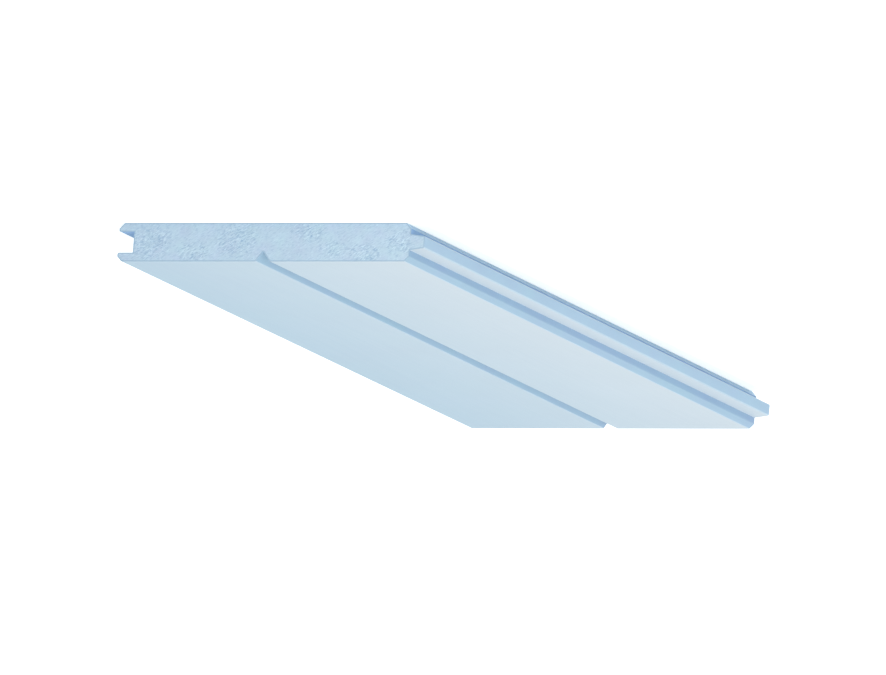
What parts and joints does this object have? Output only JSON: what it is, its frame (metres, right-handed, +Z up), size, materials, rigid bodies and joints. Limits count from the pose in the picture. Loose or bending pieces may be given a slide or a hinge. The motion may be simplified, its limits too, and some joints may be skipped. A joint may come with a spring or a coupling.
{
  "type": "tongue and groove board",
  "caption": "Flat cellular plastic board with a tongue on one long edge, a groove on the other, bevelled corners and a V down the middle of its show face, for soffits, ceilings and walls.",
  "frame": {"origin": "under the middle of the board, on the level of its back face", "axes": "+X across the board from the tongue to the groove, +Y along its length, +Z up through the show face"},
  "size_m": [0.1366, 0.343, 0.0159],
  "materials": {
    "board": "smooth satin skin on the moulded faces, fine saw marks on the cut ends"
  },
  "bodies": {
    "root": {"board": "board"}
  },
  "joints": []
}
